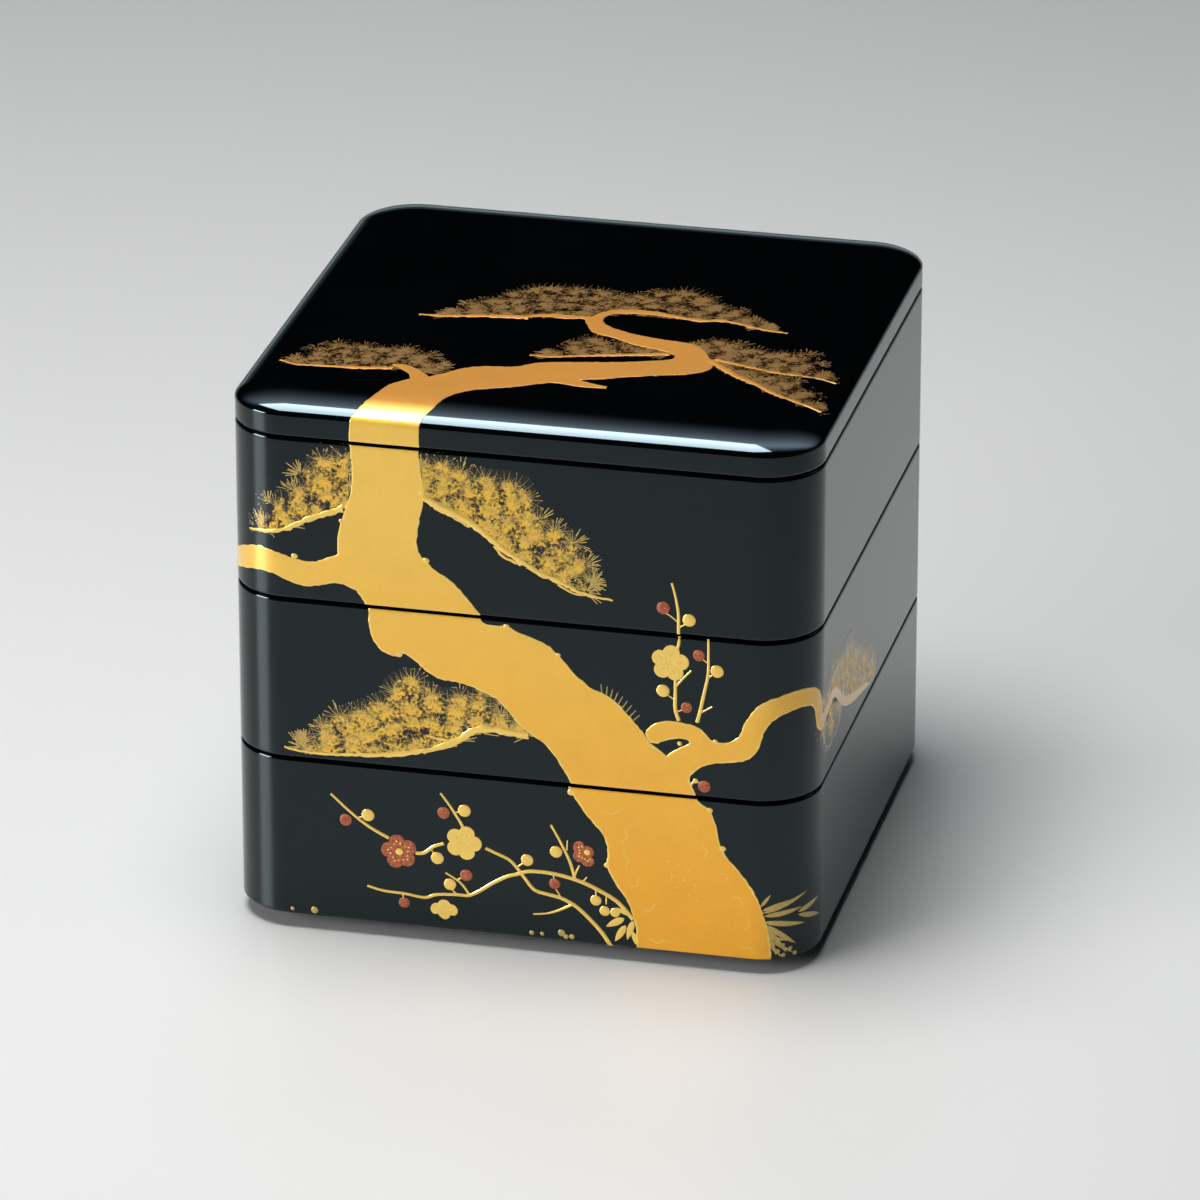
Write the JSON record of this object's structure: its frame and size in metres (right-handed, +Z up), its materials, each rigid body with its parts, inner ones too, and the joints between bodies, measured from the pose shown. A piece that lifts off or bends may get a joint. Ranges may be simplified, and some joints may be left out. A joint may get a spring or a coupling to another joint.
{
  "type": "tiered lacquer food box",
  "caption": "Stacking lacquer food box: open square trays with round corners and a lift-off lid, decorated with a pine, plum and bamboo picture in gold.",
  "frame": {"origin": "centre of the foot, on the surface that the box stands on", "axes": "+Z up, front face towards -Y, +X to the right of someone facing the front"},
  "size_m": [0.195, 0.195, 0.1855],
  "materials": {
    "lacquer": "polished black lacquer outside, with a soft shine along the shoulder of the lid, and vermilion lacquer inside",
    "gold_picture": "fine gold powder in low relief on the lacquer, satin, with brighter raised outlines",
    "red_picture": "red lacquer of the plum blossoms and buds, in low relief"
  },
  "bodies": {
    "root": {"lower_tier": "lacquer", "middle_tier": "lacquer", "upper_tier": "lacquer", "lid": "lacquer"}
  },
  "joints": []
}
